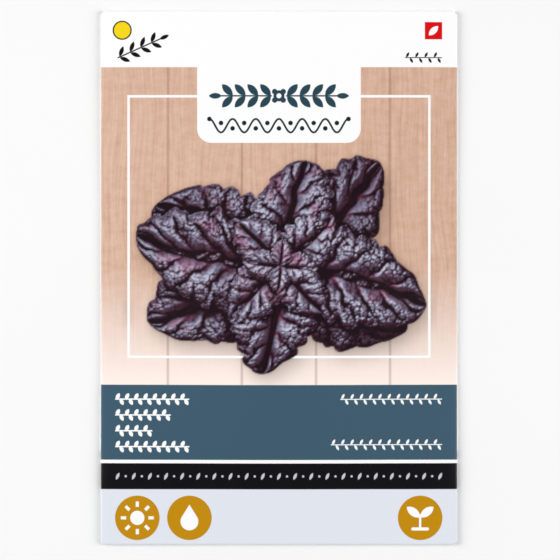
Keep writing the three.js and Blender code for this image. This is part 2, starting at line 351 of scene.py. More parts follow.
# Leaves from the lowest to the bud: length, width, the directions, level and drop of the tips
ROSETTE_MIDDLE = (0.4, 2.6)
ROSETTE = [
    (32.0, 25.0, (35, 214), 0.0, 0.16),
    (31.0, 25.0, (-39, 143), 1.5, 0.18),
    (33.0, 26.0, (-4, 179), 4.5, 0.16),
    (24.5, 22.0, (84, 268), 6.5, 0.18),
    (16.5, 14.5, (38, 221), 10.0, 0.12),
    (14.0, 12.5, (-52, 130), 12.0, 0.10),
    (8.5, 8.0, (-6, 176), 14.0, 0.05),
    (6.0, 5.6, (82, 266), 15.0, 0.0),
]
PICTURE_LIGHT = np.array([-0.35, 0.62, 0.62]) / np.linalg.norm([-0.35, 0.62, 0.62])

# Leaf colours from the darkest fold to the brightest sheen, as brightness, red, green and blue
LEAF_TONES = np.array([
    [0.00, 20, 0, 10],
    [0.10, 40, 7, 26],
    [0.25, 62, 34, 51],
    [0.42, 86, 68, 87],
    [0.58, 114, 107, 130],
    [0.76, 150, 146, 169],
    [1.00, 204, 205, 221],
])
RIB_COLOUR = np.array([120, 28, 64])
BLUSH = np.array([128, 50, 80])
RIB_STRENGTH = 0.75
BLUSH_STRENGTH = 0.42

# How much each thing adds to the leaves' brightness
AMBIENT = 0.09
DAYLIGHT = 0.13
SHEEN = 0.45
SHEEN_POWER = 2.4
RIM_HOLLOWS = (0.3, 1.6)
CRISPNESS = 0.85
LOW_LEAF_LIGHT = 0.84
LEVEL_LIGHT = 0.016
LEAF_LIGHT_STRAY = 0.06

# Shade in the leaves' hollows: its strength, the reach it is measured over in grid steps, and its limits
HOLLOWS = [
    (1.7, 3, (-0.35, 0.10)),
    (0.12, 10, (-1.0, 0.45)),
    (0.05, 22, (-5.0, 2.0)),
]

# The leaves' shadows on the ground: how dark, how soft in grid steps, and how far the wide one is cast
WIDE_SHADOW = (0.42, 14)
CLOSE_SHADOW = (0.22, 5)
SHADOW_CAST = 3.0


def blurred(field, sigma):
    """A Gaussian blur, with sigma in grid steps."""
    rows = np.fft.fftfreq(field.shape[0])[:, None]
    columns = np.fft.rfftfreq(field.shape[1])[None, :]
    transfer = np.exp(-2 * (math.pi * sigma) ** 2 * (rows**2 + columns**2))
    return np.fft.irfft2(np.fft.rfft2(field) * transfer, s=field.shape)


def blurred_within(inside, field, sigma):
    """A blur that takes nothing from outside."""
    return blurred(field * inside, sigma) / np.maximum(blurred(inside * 1.0, sigma), 0.1)


def noise(x, y, seed):
    """Smooth noise from -1 to 1, with a lattice point at each whole number."""
    size = 64
    lattice = np.random.default_rng(seed).uniform(-1, 1, (size, size))
    i, j = np.floor(x).astype(int), np.floor(y).astype(int)
    across, along = smooth(x - i, 0, 1), smooth(y - j, 0, 1)
    i, j, i_next, j_next = i % size, j % size, (i + 1) % size, (j + 1) % size
    low = lattice[i, j] * (1 - across) + lattice[i_next, j] * across
    high = lattice[i, j_next] * (1 - across) + lattice[i_next, j_next] * across
    return low * (1 - along) + high * along


def pillows(x, y, pitch, seed, stray):
    """Domes about scattered points, one for each square: 1 at a dome's middle, 0 in the creases."""
    size = 64
    scatter = np.random.default_rng(seed).uniform(-stray, stray, (size, size, 2))
    x = x / pitch + size / 2
    y = y / pitch + size / 2
    i, j = np.floor(x).astype(int), np.floor(y).astype(int)
    nearest = np.full(x.shape, 9.0)
    for di in (-1, 0, 1):
        for dj in (-1, 0, 1):
            offset = scatter[(i + di) % size, (j + dj) % size]
            away_x = x - (i + di + 0.5 + offset[..., 0])
            away_y = y - (j + dj + 0.5 + offset[..., 1])
            nearest = np.minimum(nearest, away_x**2 + away_y**2)
    return 1 - np.minimum(1, 1.7 * nearest)


def leaf_heights(x, y, turn, length, width, level, drop, seed):
    """A quilted leaf over a grid: its height, how far inside its edge points lie, its ribs and its sheen."""
    rng = np.random.default_rng(seed)
    bend = LEAF_BEND * rng.choice([-1, 1])
    phase = rng.uniform(0, 1)
    size = length / LEAF_SIZE
    stray_x, stray_y = x / LEAF_STRAY_SIZE, y / LEAF_STRAY_SIZE
    from_x = x - ROSETTE_MIDDLE[0] + LEAF_STRAY * size * noise(stray_x, stray_y, seed + 1)
    from_y = y - ROSETTE_MIDDLE[1] + LEAF_STRAY * size * noise(stray_x + 9, stray_y, seed + 2)
    along = from_x * math.cos(turn) + from_y * math.sin(turn)
    across = from_y * math.cos(turn) - from_x * math.sin(turn) - bend * along**2
    share = np.clip(along / length, 0, 1)
    side = (across > 0) * 1.0

    fullness, foot, tip, widening = LEAF_OUTLINE
    profile = fullness * share**foot * (1 - share) ** tip * (1 + widening * share)
    stray = LOBE_STRAY * noise(share * 8, side * 4.1 + 6, seed + 4)
    lobe = math.pi * (LEAF_LOBES * share + phase + 0.4 * side + stray)
    ragged = LEAF_RAGGED * noise(share * 22, side * 7.3 + 10, seed + 3)
    edge = 1 - LOBE_NOTCH * (1 - np.abs(np.sin(lobe))) ** 1.2 + ragged
    half_width = np.maximum(width / 2 * profile * edge, 1e-3)
    out = np.abs(across) / half_width
    inside = np.minimum((1 - out) * half_width, np.minimum(along, (length - along) * 3))

    vein_pairs = VEIN_PAIRS * (0.55 + 0.45 * size)
    veins = (share - VEIN_SLANT[0] * out + VEIN_SLANT[1] * out**2) * vein_pairs + 40 + phase + 0.5 * side
    veins = veins + VEIN_STRAY * noise(x / (2.2 * size), y / (2.2 * size), seed + 5)
    ridge = np.abs(veins % 1 - 0.5) * 2
    blisters = pillows(along, across, BLISTER_SIZE * size**0.5, seed + 6, 0.40)
    blisters *= 0.2 + 0.8 * smooth(out, 0.15, 0.7)
    crinkle = pillows(x, y, CRINKLE_SIZE * size**0.5, seed + 7, 0.45) * (0.3 + 0.7 * smooth(out, 0.2, 0.8))

    height = QUILT_RISE * (1 - ridge**2) * smooth(out, 0.0, 0.35) * (1 - 0.35 * smooth(out, 0.55, 1.0))
    height += BLISTER_RISE * blisters + CRINKLE_RISE * crinkle
    height -= MIDRIB_DEPTH * np.exp(-((across / (MIDRIB_GROOVE * size)) ** 2)) * smooth(1 - share, 0.0, 0.3)
    height += MARGIN_WAVE * smooth(out, 0.55, 1.0) * np.sin(2 * lobe + 0.8) * profile
    height += MARGIN_CURL * smooth(out, 0.4, 1.0) * noise(share * 5 + 3, side * 5.5 + 2, seed + 9)
    height -= MARGIN_FALL * smooth(out, 0.65, 1.02) ** 2
    height = level + size * height + LEAF_CUP * width * out * (1.1 - out) * profile
    height += length * (LEAF_ARCH * np.sin(math.pi * (share * 0.85 + 0.08)) - drop * share**2.2)

    fading = smooth(share, -0.05, 0.05) * smooth(1 - share, 0.1, 0.5)
    midrib = np.exp(-((across / (MIDRIB_WIDTH * size)) ** 2)) * fading
    side_ribs = smooth(ridge, 0.72, 1.0) * smooth(1 - out, 0.1, 0.9)
    ribs = np.maximum(midrib, SIDE_RIB_STRENGTH * side_ribs)
    sheen = LOW_LEAF_LIGHT + LEVEL_LIGHT * level + 0.12 * noise(x / 6, y / 6, seed + 11)
    return height, inside, ribs, sheen + rng.uniform(-LEAF_LIGHT_STRAY, LEAF_LIGHT_STRAY)


def rosette(xs, ys):
    """All leaves over the grid, higher ones hiding lower ones: height, slopes, cover, rim, ribs and sheen."""
    x, y = np.meshgrid(xs, ys)
    step = xs[1] - xs[0]
    top = np.full(x.shape, -np.inf)
    slope_x, slope_y, cover, rim, ribs, sheens = (np.zeros(x.shape) for _ in range(6))
    leaves = [(math.radians(turn), pair) for pair in ROSETTE for turn in pair[2]]
    for k, (turn, (length, width, _, level, drop)) in enumerate(leaves):
        reach = np.array([-length - 3, length + 3])
        columns = slice(*np.searchsorted(xs, ROSETTE_MIDDLE[0] + reach))
        rows = slice(*np.searchsorted(ys, ROSETTE_MIDDLE[1] + reach))
        part = (rows, columns)
        leaf = leaf_heights(x[part], y[part], turn, length, width, level, drop, seed=100 + 17 * k)
        height, inside, rib, sheen = leaf
        rise_y, rise_x = np.gradient(height, step)
        wins = (inside > -step / 2) & (height > top[part])
        layers = (top, slope_x, slope_y, rim, ribs, sheens)
        for layer, own in zip(layers, (height, rise_x, rise_y, inside, rib, sheen)):
            layer[part] = np.where(wins, own, layer[part])
        cover[part] = np.maximum(cover[part], np.clip(inside / step + 0.5, 0, 1))
    lowest = top[cover > 0].min()
    return np.where(cover > 0, top - lowest + 0.5, 0.0), (slope_x, slope_y), cover, rim, ribs, sheens


def leaf_brightness(height, slopes, inside, rim, step):
    """How bright leaves look from above, from daylight, sheen, cast shadows and hollows of three sizes."""
    slope_x, slope_y = slopes
    steepness = np.sqrt(1 + slope_x**2 + slope_y**2)

    def facing(direction):
        toward = (direction[2] - slope_x * direction[0] - slope_y * direction[1]) / steepness
        return np.clip(toward, 0, 1)

    halfway = PICTURE_LIGHT + np.array([0, 0, 1])
    halfway /= np.linalg.norm(halfway)
    lit = np.ones(height.shape)
    for reach in range(3, 100, 3):
        shift = (-round(PICTURE_LIGHT[1] * reach), -round(PICTURE_LIGHT[0] * reach))
        over = np.roll(height, shift, (0, 1)) - (height + PICTURE_LIGHT[2] * reach * step)
        lit = np.minimum(lit, 1 - smooth(over, 0.0, 1.6))
    lit = blurred(lit, 2.5)
    hollows = sum(
        shade * np.clip(height - blurred_within(inside, height, reach), *limits)
        for shade, reach, limits in HOLLOWS
    )
    sheen = SHEEN * facing(halfway) ** SHEEN_POWER * (0.35 + 0.65 * lit)
    daylight = DAYLIGHT * facing(PICTURE_LIGHT) * lit
    return AMBIENT + daylight + sheen + hollows * smooth(rim, *RIM_HOLLOWS)


def linear(colour):
    """Scene values of a colour given as red, green and blue up to 255."""
    share = np.asarray(colour, float) / 255
    return np.where(share <= 0.04045, share / 12.92, ((share + 0.055) / 1.055) ** 2.4)


def leaf_picture(window):
    """Leaf colour with its cover, and the light left on the ground, at the picture's stations."""
    low_x, high_x, low_y, high_y = window
    cells = [round((high - low) / PICTURE_PITCH) for low, high in ((low_x, high_x), (low_y, high_y))]
    xs = np.linspace(low_x, high_x, 2 * cells[0] + 1)
    ys = np.linspace(low_y, high_y, 2 * cells[1] + 1)
    step = PICTURE_PITCH / 2
    height, slopes, cover, rim, ribs, sheens = rosette(xs, ys)
    inside = cover > 0
    height = np.where(inside, blurred_within(inside, height, 0.8), 0)
    brightness = np.clip(leaf_brightness(height, slopes, inside, rim, step) * sheens, 0, 1)
    soft = blurred_within(inside, brightness, 2)
    brightness = np.where(inside, brightness + CRISPNESS * (brightness - soft), soft)
    tones = [np.interp(brightness, LEAF_TONES[:, 0], LEAF_TONES[:, k]) for k in (1, 2, 3)]
    colour = np.stack(tones, axis=-1)
    x, y = np.meshgrid(xs, ys)
    blush = smooth(noise(x / 4.1, y / 4.1, 61) + 0.5 * noise(x / 1.3, y / 1.3, 62), 0.1, 1.0)[..., None]
    colour += BLUSH_STRENGTH * blush * (BLUSH * (0.2 + brightness[..., None]) - colour)
    colour += RIB_STRENGTH * ribs[..., None] * (RIB_COLOUR * (0.35 + brightness[..., None]) - colour)
    shift = [round(-SHADOW_CAST / step * PICTURE_LIGHT[k]) for k in (1, 0)]
    shadows = ((np.roll(cover, shift, (0, 1)), WIDE_SHADOW), (cover, CLOSE_SHADOW))
    ground = 1 - sum(shade * blurred(cast, softness) for cast, (shade, softness) in shadows)
    layers = np.concatenate([linear(colour), cover[..., None], ground[..., None]], axis=-1)
    for axis in (0, 1):
        lines = np.moveaxis(layers, axis, 0)
        lines[1:-1] = (lines[:-2] + 6 * lines[1:-1] + lines[2:]) / 8
    return layers[::2, ::2]


# Inks and finishes, as red, green and blue up to 255
WHITE = (253, 253, 253)
BEAD_GREY = (200, 199, 204)
BARE_PAPER = (240, 239, 235)
SLATE = (60, 90, 108)
DARK_SLATE = (38, 67, 82)
NIGHT_SLATE = (14, 33, 42)
BLACK = (4, 2, 8)
PALE_BLUE = (226, 230, 239)
GOLD = (195, 139, 0)
RED = (219, 0, 12)
YELLOW = (246, 214, 20)
WOOD_LIGHT = (226, 191, 169)
WOOD_DARK = (200, 156, 132)
WOOD_CREAM = (255, 240, 232)
WOOD_JOINT = (140, 92, 72)
FOIL = (214, 217, 214)
SEED_COAT = (34, 28, 26)
SEED_COAT_BROWN = (62, 46, 36)
GLUE_FILM = (226, 214, 180)

# The print on the front: its shapes lie where the photograph has print, and small motifs stand for words
TAB_HALF_WIDTH = 18.35
TAB_FOOT = PICTURE_TOP - 17.0
TAB_CORNER = 3.2
FRAME_LINE_SIDES = 33.75
FRAME_LINE_TOP = 40.75
FRAME_LINE_FOOT = -17.7
FRAME_LINE_WIDTH = 0.56
DISC_RADIUS = 5.0
DISC_LEVEL = FOOT + 6.13
DISCS_X = (-31.8, -20.1, 31.7)
SQUARE_MIDDLE = (34.7, 55.5)
SQUARE_HALF = 1.95
SQUARE_LEAF_SIZE = (2.9, 1.35)
VINE_LEFT = -36.75
VINE_RIGHT = 36.6
VINE_PITCH = 2.08
BEAD_PITCH = 3.62
BEADS_EACH_SIDE = 10
BEAD_LEAF_SIZE = (1.7, 0.66)
BEAD_LEAF_TURN = 65
BEAD_DOT_RADIUS = 0.26
LAUREL_LEVEL = 40.85
LAUREL_START = 1.6
FLOWER_RADIUS = 1.25
FLOWER_EYE_RADIUS = 0.55
PETAL_PLACE = (0.95, 0.95)
PETAL_RADIUS = 0.62
WAVE_LEVEL = 34.15
WAVE_RISE = 1.5
WAVE_BEND = 5.2
WAVE_HALF_LENGTH = 3 * WAVE_BEND
WAVE_LINE_HALF = 0.22
WAVE_DOT_LEVEL = 0.6
WAVE_DOT_RADIUS = 0.52
HEAD_SUN = (-35.2, 55.6)
HEAD_SUN_DISCS = ((2.15, BLACK), (1.85, YELLOW))
HEAD_TWIG = (-36.2, 49.4)
HEAD_TWIG_TURN = 24
INK_EDGE = 0.12
LAUREL = {
    "pitch": 2.85, "pairs": 4, "leaf_place": ((1.42, 1.32), 47), "leaf_size": (3.5, 1.6),
    "tip_size": (2.9, 1.3), "stem_half": 0.17,
}
SPRIG = {
    "pitch": 2.6, "pairs": 4, "leaf_place": ((1.35, 0.98), 46), "leaf_size": (2.5, 0.95),
    "tip_size": (2.3, 0.9), "stem_half": 0.15,
}
VINE_LEAF_PLACES = (((0.60, 0.62), 62), ((1.45, -0.62), -62))
VINE = {"leaf_size": (1.55, 0.86), "stem_half": 0.15}
THIN_VINE = {"leaf_size": (1.35, 0.56), "stem_half": 0.10}
VINE_ROWS = [(-27.2, 8), (-30.75, 6), (-34.3, 4), (-37.85, 8)]
THIN_VINE_ROWS = [(-27.2, 11, WHITE), (-37.4, 12, WHITE), (49.45, 4, BLACK)]

# The print on the back
BACK_SLATE_BAND = 2.0
BACK_LINE_HALF = 0.14
WRITING_LINES_MIDDLE = 11.2
WRITING_LINE_PITCH = 5.2
WRITING_LINES_HALF_WIDTH = 33.0
WRITING_LINES_HALF_HEIGHT = 4 * WRITING_LINE_PITCH
CALENDAR_LEVEL = -25.0
CALENDAR_CELL = 5.0
CALENDAR_HALF_HEIGHT = 3.15
CALENDAR_BARS = ((-1.5 * CALENDAR_CELL, GOLD), (2.5 * CALENDAR_CELL, SLATE))
CALENDAR_BAR_HALF = 7.2
CALENDAR_BAR_END = 1.1

# The planks in the picture
PLANK_WIDTH = 16.6
PLANK_START = -41.5
PLANK_JOINT_HALF = 0.10
PLANK_JOINT_SOFT = 0.35
PLANK_JOINT_SHADE = 0.38
PLANK_DUSK = 0.004
WOOD_DARKNESS = 1.10
FOOT_LIGHT_REACH = 26.0
FOOT_LIGHT_START = 0.10

# How the planks' tints and the places of their grain differ: the pace from plank to plank, and the reach
PLANK_TINT = (12.9898, 0.12)
PLANK_SHIFT = (78.233, 40.0)

# The wood's figure: strength, change across and along the planks, layer, detail and roughness
WARP = (4.5, 0.11, 0.035, 7.0, 1.0, 0.5)
GRAIN = (1.5, 1.5, 0.045, 1.0, 4.0, 0.6)
FINE_GRAIN = (0.6, 7.0, 0.25, 2.0, 2.0, 0.5)
MOTTLE = (1.1, 0.38, 0.55, 5.0, 4.0, 0.65)


class Field:
    """A number that varies over a surface: a socket, with arithmetic that adds math nodes."""

    def __init__(self, tree, socket):
        self.tree = tree
        self.socket = socket

    def math(self, operation, *others, clamped=False):
        inputs = enumerate((self, *others))
        outputs = add_node(self.tree, "Math", inputs, operation=operation, use_clamp=clamped)
        return Field(self.tree, outputs[0])

    def __add__(self, other):
        return self.math("ADD", other)

    def __sub__(self, other):
        return self.math("SUBTRACT", other)

    def __mul__(self, other):
        return self.math("MULTIPLY", other)

    def __neg__(self):
        return self.math("MULTIPLY", -1.0)

    def __abs__(self):
        return self.math("ABSOLUTE")


def connect(tree, value, slot):
    """Sets a shader socket: a link from a field or socket, or else a constant."""
    if isinstance(value, Field):
        tree.links.new(value.socket, slot)
    elif isinstance(value, bpy.types.NodeSocket):
        tree.links.new(value, slot)
    elif slot.type == "RGBA":
        slot.default_value = (*value, 1.0)
    else:
        slot.default_value = value


def add_node(tree, kind, inputs=(), **settings):
    """The outputs of a new shader node, given its settings, and its inputs by name or number."""
    node = tree.nodes.new("ShaderNode" + kind)
    for name, value in settings.items():
        setattr(node, name, value)
    for key, value in dict(inputs).items():
        connect(tree, value, node.inputs[key])
    return node.outputs


def lowest(*fields):
    return reduce(lambda first, second: first.math("MINIMUM", second), fields)


def highest(*fields):
    return reduce(lambda first, second: first.math("MAXIMUM", second), fields)


class Place:
    """Where a point of the print lies, in millimetres, with distances to shapes: below 0 inside them."""

    def __init__(self, x, y):
        self.x = x
        self.y = y

    def moved(self, middle, turn=0.0):
        """The place as seen from a shape of its own, set at a middle and turned by degrees."""
        x = self.x - middle[0]
        y = self.y - middle[1]
        if not turn:
            return Place(x, y)
        c, s = math.cos(math.radians(turn)), math.sin(math.radians(turn))
        return Place(x * c + y * s, y * c - x * s)

    def mirrored(self, in_x=False, in_y=False):
        return Place(abs(self.x) if in_x else self.x, abs(self.y) if in_y else self.y)

    def repeated(self, start, pitch):
        """The same place in each of a row of equal cells along x, from 0 to the pitch."""
        return Place((self.x - start).math("FLOORED_MODULO", pitch), self.y)

    def radius(self):
        return (self.x * self.x + self.y * self.y).math("SQRT")

    def disc(self, radius):
        return self.radius() - radius

    def box(self, half_width, half_height):
        return highest(abs(self.x) - half_width, abs(self.y) - half_height)

    def rounded_box(self, half_width, half_height, corner):
        x = (abs(self.x) - (half_width - corner)).math("MAXIMUM", 0.0)
        y = (abs(self.y) - (half_height - corner)).math("MAXIMUM", 0.0)
        return Place(x, y).disc(corner)

    def lens(self, length, width):
        """A leaf shape along x, from the overlap of two discs."""
        radius = (length**2 + width**2) / (4 * width)
        middle = radius - width / 2
        return Place(self.x, abs(self.y) + middle).disc(radius)


def new_material(name):
    material = bpy.data.materials.new(name)
    material.use_nodes = True
    shader = material.node_tree.nodes["Principled BSDF"]
    return material, material.node_tree, shader


def attribute(tree, name):
    """The outputs of a node that reads one of the mesh's own attributes."""
    return add_node(tree, "Attribute", attribute_name=name)


def noise_field(tree, vector, scale, detail=2.0, roughness=0.5):
    inputs = {"Vector": vector, "Scale": scale, "Detail": detail, "Roughness": roughness}
    return Field(tree, add_node(tree, "TexNoise", inputs)["Fac"])


def object_millimetres(tree):
    """The object's own coordinates, in millimetres."""
    metres = add_node(tree, "TexCoord")["Object"]
    return add_node(tree, "VectorMath", {0: metres, "Scale": 1 / MM}, operation="SCALE")[0]


def mixed(tree, share, below, above, blend="MIX"):
    """Two colours mixed by a share. Inputs 0, 6 and 7 are the ones that a mix node has for colours."""
    return add_node(tree, "Mix", {0: share, 6: below, 7: above}, data_type="RGBA", blend_type=blend)[2]


def add_bump(tree, shader, height, depth):
    """Relief in the shading, with its depth in millimetres."""
    bump = add_node(tree, "Bump", {"Distance": depth * MM, "Height": height})
    connect(tree, bump[0], shader.inputs["Normal"])


class Print:
    """Inks over paper, each laid where a distance is below 0 and hiding what is under it."""

    def __init__(self, name, paper):
        self.material, self.tree, self.shader = new_material(name)
        parts = add_node(self.tree, "SeparateXYZ", {0: attribute(self.tree, "print_place")["Vector"]})
        self.place = Place(Field(self.tree, parts[0]), Field(self.tree, parts[1]))
        self.colour = linear(paper)

    def lay(self, distance, colour, strength=1.0):
        share = (distance * (-1 / INK_EDGE)).math("ADD", 0.5, clamped=True)
        if strength != 1.0:
            share = share * strength
        ink = colour if isinstance(colour, bpy.types.NodeSocket) else linear(colour)
        self.colour = mixed(self.tree, share, self.colour, ink)

    def finish(self, roughness=0.40, gloss_change=0.10, fibre=0.005, specular=0.25):
        """Satin coated paper: a little uneven in gloss, with the web of its fibres just showing."""
        tree, shader = self.tree, self.shader
        millimetres = object_millimetres(tree)
        cloud = noise_field(tree, millimetres, 0.35, detail=3.0)
        connect(tree, self.colour, shader.inputs["Base Color"])
        connect(tree, cloud * gloss_change + (roughness - gloss_change / 2), shader.inputs["Roughness"])
        shader.inputs["Specular IOR Level"].default_value = specular
        add_bump(tree, shader, noise_field(tree, millimetres, 4.0, detail=4.0, roughness=0.65), fibre)
        return self.material


def plank_colour(printed):
    """Pale planks side by side, with grain along them, thin joints, and light that grows to the foot."""
    tree, place = printed.tree, printed.place

    def figure(at, strength, across, along, layer, detail, roughness):
        vector = add_node(tree, "CombineXYZ", {0: at.x * across, 1: at.y * along, 2: layer})[0]
        return noise_field(tree, vector, 1.0, detail, roughness) * strength

    board = (place.x - PLANK_START).math("DIVIDE", PLANK_WIDTH).math("FLOOR")
    tint, shift = ((board * pace).math("SINE") * reach for pace, reach in (PLANK_TINT, PLANK_SHIFT))
    warp = figure(Place(place.x, place.y + shift), *WARP)
    lines = Place(place.x + warp, place.y + shift)
    figures = figure(lines, *GRAIN) + figure(lines, *FINE_GRAIN) + figure(place, *MOTTLE)
    share = (figures + (tint - place.x * PLANK_DUSK)).math("SUBTRACT", WOOD_DARKNESS, clamped=True)
    wood = mixed(tree, share, linear(WOOD_DARK), linear(WOOD_LIGHT))
    foot_light = (place.y * (-1 / FOOT_LIGHT_REACH)).math("ADD", FOOT_LIGHT_START, clamped=True)
    wood = mixed(tree, foot_light, wood, linear(WOOD_CREAM))
    cell = place.repeated(PLANK_START, PLANK_WIDTH)
    joint = lowest(cell.x, -(cell.x - PLANK_WIDTH)) - PLANK_JOINT_HALF
    near_joint = (joint * (-1 / PLANK_JOINT_SOFT)).math("ADD", 1.0, clamped=True)
    return mixed(tree, near_joint * PLANK_JOINT_SHADE, wood, linear(WOOD_JOINT))


def lay_picture(printed):
    """The leaves on their planks, in a thin white frame line that they hide, with the tab over them."""
    tree, place = printed.tree, printed.place
    frame_middle = (0.0, (FRAME_LINE_TOP + FRAME_LINE_FOOT) / 2)
    frame_half_height = (FRAME_LINE_TOP - FRAME_LINE_FOOT) / 2
    picture_middle = (0.0, (PICTURE_TOP + SLATE_BAND_TOP) / 2)
    leaves = attribute(tree, "leaf_colour")
    wood = mixed(tree, 1.0, plank_colour(printed), attribute(tree, "ground_light")["Fac"], "MULTIPLY")
    framed = place.moved(frame_middle).box(FRAME_LINE_SIDES, frame_half_height)
    line = (abs(framed) * (-1 / INK_EDGE)).math("ADD", 0.5 + FRAME_LINE_WIDTH / 2 / INK_EDGE, clamped=True)
    wood = mixed(tree, line, wood, linear(WHITE))
    picture = mixed(tree, leaves["Alpha"], wood, leaves["Color"])
    printed.lay(place.moved(picture_middle).box(WIDTH, (PICTURE_TOP - SLATE_BAND_TOP) / 2), picture)
    tab_height = 2 * TAB_CORNER + PICTURE_TOP - TAB_FOOT
    tab_middle = (0.0, TAB_FOOT + tab_height / 2)
    printed.lay(place.moved(tab_middle).rounded_box(TAB_HALF_WIDTH, tab_height / 2, TAB_CORNER), WHITE)


def twig(place, pitch, pairs, leaf_place, leaf_size, tip_size, stem_half):
    """A stem along x from 0, with pairs of slanting leaves on it and one more leaf at its tip."""
    half = pitch * pairs / 2
    stem = place.moved((half, 0.0))
    leaf = place.repeated(0.0, pitch).mirrored(in_y=True).moved(*leaf_place).lens(*leaf_size)
    tip = stem.moved((half + 0.45 * tip_size[0], 0.0)).lens(*tip_size)
    return lowest(highest(leaf, abs(stem.x) - half), stem.box(half, stem_half), tip)


def lay_tab_ornament(printed):
    """A laurel on both sides of a small flower, and under it a thin wave with a dot in each bend."""
    laurel = printed.place.moved((0.0, LAUREL_LEVEL)).mirrored(in_x=True)
    branch = twig(laurel.moved((LAUREL_START, 0.0)), **LAUREL)
    petals = laurel.mirrored(in_y=True).moved(PETAL_PLACE).disc(PETAL_RADIUS)
    printed.lay(lowest(branch, laurel.disc(FLOWER_RADIUS), petals), DARK_SLATE)
    printed.lay(laurel.disc(FLOWER_EYE_RADIUS), WHITE)

    wave = printed.place.moved((0.0, WAVE_LEVEL))
    phase = wave.x * (math.tau / WAVE_BEND)
    crest = phase.math("COSINE")
    slope = phase.math("SINE") * (WAVE_RISE * math.tau / WAVE_BEND)
    steepness = (slope * slope + 1.0).math("SQRT")
    line = abs(wave.y - crest * WAVE_RISE).math("DIVIDE", steepness) - WAVE_LINE_HALF
    cells = Place(wave.x.math("PINGPONG", WAVE_BEND / 2), wave.y)
    dot_places = ((0.0, -WAVE_DOT_LEVEL), (WAVE_BEND / 2, WAVE_DOT_LEVEL))
    dots = lowest(*(cells.moved(place).disc(WAVE_DOT_RADIUS) for place in dot_places))
    reach = abs(wave.x) - WAVE_HALF_LENGTH
    end_dot = wave.mirrored(in_x=True).moved((WAVE_HALF_LENGTH, WAVE_RISE)).disc(WAVE_DOT_RADIUS)
    printed.lay(lowest(highest(line, reach), highest(dots, reach + 1.0), end_dot), NIGHT_SLATE)


def lay_vine(printed, left, level, cells, ink, leaf_size, stem_half):
    """A stem along x with a leaf up and a leaf down in each cell."""
    row = printed.place.moved((left, level))
    cell = row.repeated(0.0, VINE_PITCH)
    leaves = (cell.moved(*place).lens(*leaf_size) for place in VINE_LEAF_PLACES)
    half = VINE_PITCH * cells / 2
    printed.lay(highest(lowest(*leaves, abs(row.y) - stem_half), abs(row.x - half) - half), ink)


def lay_vines(printed):
    """Rows of small vines: thicker ones from the left, and finer ones up to the right."""
    for level, cells in VINE_ROWS:
        lay_vine(printed, VINE_LEFT, level, cells, WHITE, **VINE)
    for level, cells, ink in THIN_VINE_ROWS:
        lay_vine(printed, VINE_RIGHT - VINE_PITCH * cells, level, cells, ink, **THIN_VINE)


def lay_bands(printed, slate_top):
    """The bands that run round the foot of the packet, with a slate band of its own height on each side."""
    for low, high, ink in (
        (FOOT - END_FOLD_LENGTH, BASE_PANEL_TOP, PALE_BLUE),
        (BASE_PANEL_TOP, BLACK_STRIP_TOP, BLACK),
        (SLATE_BAND_FOOT, slate_top, SLATE),
    ):
        band = printed.place.moved((0.0, (low + high) / 2))
        printed.lay(band.box(WIDTH, (high - low) / 2), ink)


def lay_beads(printed):
    """A row of slanting leaves with dots between them along the black strip."""
    strip = printed.place.moved((0.0, (BASE_PANEL_TOP + BLACK_STRIP_TOP) / 2))
    last = BEAD_PITCH * BEADS_EACH_SIDE
    cells = strip.repeated(-last - BEAD_PITCH / 2, BEAD_PITCH).moved((BEAD_PITCH / 2, 0.0))
    dot = cells.mirrored(in_x=True).moved((BEAD_PITCH / 2, 0.0)).disc(BEAD_DOT_RADIUS)
    row = lowest(cells.moved((0.0, 0.0), BEAD_LEAF_TURN).lens(*BEAD_LEAF_SIZE), dot)
    printed.lay(highest(row, abs(strip.x) - last - BEAD_PITCH / 3), BEAD_GREY)


def sun(place, size):
    """A round with eight rays. Its numbers are shares of its size, as the next two's are."""
    turn = place.y.math("ARCTAN2", place.x).math("PINGPONG", math.pi / 8)
    radius = place.radius()
    ray = highest(radius * turn.math("SINE") - 0.07 * size, abs(radius - 0.62 * size) - 0.12 * size)
    return lowest(radius - 0.32 * size, ray)


def water_drop(place, size):
    """A round belly with a tip above it, where two straight sides touch the round."""
    belly = place.moved((0.0, -0.16 * size))
    radius, slant = 0.40 * size, math.radians(32)
    sides = abs(belly.x) * math.cos(slant) + belly.y * math.sin(slant) - radius
    above = -(belly.y - radius * math.sin(slant))
    return lowest(belly.disc(radius), highest(sides, above))


def sprout(place, size):
    stem = place.moved((0.0, -0.16 * size)).box(0.05 * size, 0.32 * size)
    leaf = place.mirrored(in_x=True).moved((0.30 * size, 0.26 * size), 38).lens(0.76 * size, 0.36 * size)
    soil = place.moved((0.0, -0.50 * size)).rounded_box(0.40 * size, 0.07 * size, 0.07 * size)
    return lowest(stem, leaf, soil)


def lay_discs(printed):
    for x, pictogram in zip(DISCS_X, (sun, water_drop, sprout)):
        place = printed.place.moved((x, DISC_LEVEL))
        printed.lay(place.disc(DISC_RADIUS), GOLD)
        printed.lay(pictogram(place, DISC_RADIUS), WHITE)


def lay_head(printed):
    """A sun over a twig at the left of the head, and a red square with a leaf in it at the right."""
    place = printed.place
    for radius, ink in HEAD_SUN_DISCS:
        printed.lay(place.moved(HEAD_SUN).disc(radius), ink)
    printed.lay(twig(place.moved(HEAD_TWIG, HEAD_TWIG_TURN), **SPRIG), BLACK)
    square = place.moved(SQUARE_MIDDLE)
    printed.lay(square.box(SQUARE_HALF, SQUARE_HALF), RED)
    printed.lay(square.moved((0.0, 0.0), 45).lens(*SQUARE_LEAF_SIZE), WHITE)


def front_print():
    printed = Print("printed_front", WHITE)
    lay_picture(printed)
    lay_tab_ornament(printed)
    lay_bands(printed, SLATE_BAND_TOP)
    lay_beads(printed)
    lay_vines(printed)
    lay_discs(printed)
    lay_head(printed)
    return printed.finish()


